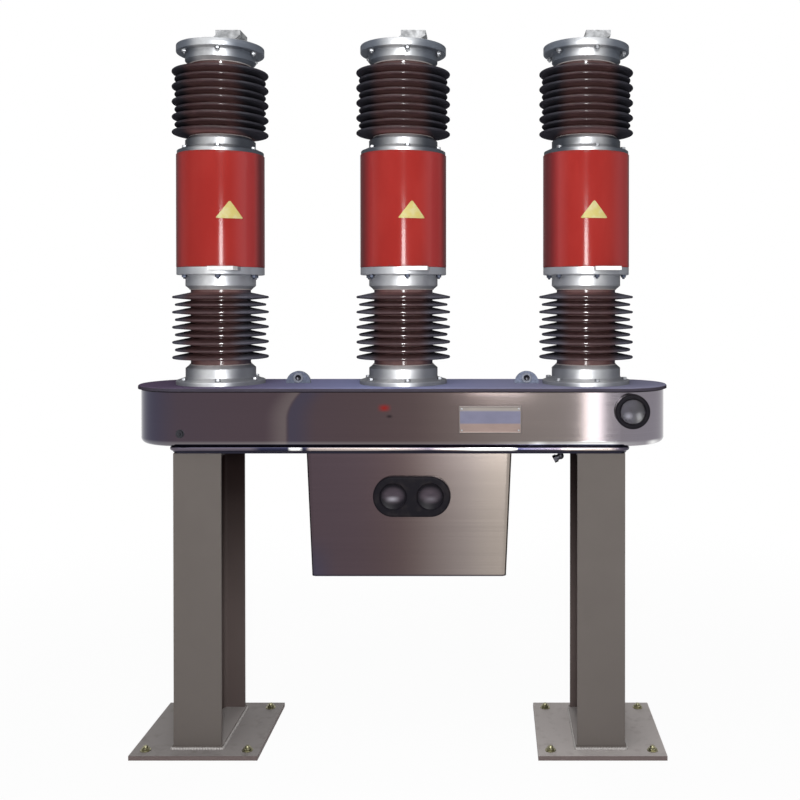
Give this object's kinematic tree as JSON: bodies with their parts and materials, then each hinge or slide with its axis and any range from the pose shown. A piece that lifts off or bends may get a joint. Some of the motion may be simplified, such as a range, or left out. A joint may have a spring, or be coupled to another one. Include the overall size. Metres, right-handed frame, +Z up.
{
  "type": "gas insulated circuit breaker",
  "caption": "Outdoor live-tank gas insulated breaker: ribbed insulator poles with red tanks on a round-ended beam with a mechanism box, standing on H-section legs.",
  "frame": {"origin": "on the ground, midway between the two legs", "axes": "+X along the row of poles towards the gauge end, +Y away from the operator's side, +Z up"},
  "size_m": [1.7266, 0.4, 2.3],
  "materials": {
    "cast_alloy": "satin cast alloy",
    "porcelain": "dark brown glaze",
    "red_paint": "gloss red paint",
    "polished_sheet": "polished sheet",
    "plated_steel": "zinc plate",
    "black_rubber": "black moulded",
    "dial_glass": "clear over a dark dial",
    "lens_glass": "smoked",
    "dark_brass": "tarnished",
    "grey_paint": "matte warm grey",
    "grey_plate": "matte light grey"
  },
  "bodies": {
    "root": {"left_base_flange": "cast_alloy", "left_support_insulator": "porcelain", "left_lower_flange": "cast_alloy", "left_interrupter_tank": "red_paint", "left_upper_flange": "cast_alloy", "left_upper_insulator": "porcelain", "left_top_flange": "cast_alloy", "left_line_terminal": "cast_alloy", "middle_base_flange": "cast_alloy", "middle_support_insulator": "porcelain", "middle_lower_flange": "cast_alloy", "middle_interrupter_tank": "red_paint", "middle_upper_flange": "cast_alloy", "middle_upper_insulator": "porcelain", "middle_top_flange": "cast_alloy", "middle_line_terminal": "cast_alloy", "right_base_flange": "cast_alloy", "right_support_insulator": "porcelain", "right_lower_flange": "cast_alloy", "right_interrupter_tank": "red_paint", "right_upper_flange": "cast_alloy", "right_upper_insulator": "porcelain", "right_top_flange": "cast_alloy", "right_line_terminal": "cast_alloy", "beam_housing": "polished_sheet", "beam_lid": "polished_sheet", "beam_bottom_pan": "polished_sheet", "lifting_lugs": "plated_steel", "gauge_bezel": "black_rubber", "gauge_dial": "dial_glass", "mechanism_box": "polished_sheet", "window_frame": "black_rubber", "window_lenses": "lens_glass", "gas_valve": "dark_brass", "left_leg": "grey_paint", "right_leg": "grey_paint", "left_base_plate": "grey_plate", "right_base_plate": "grey_plate"}
  },
  "joints": []
}
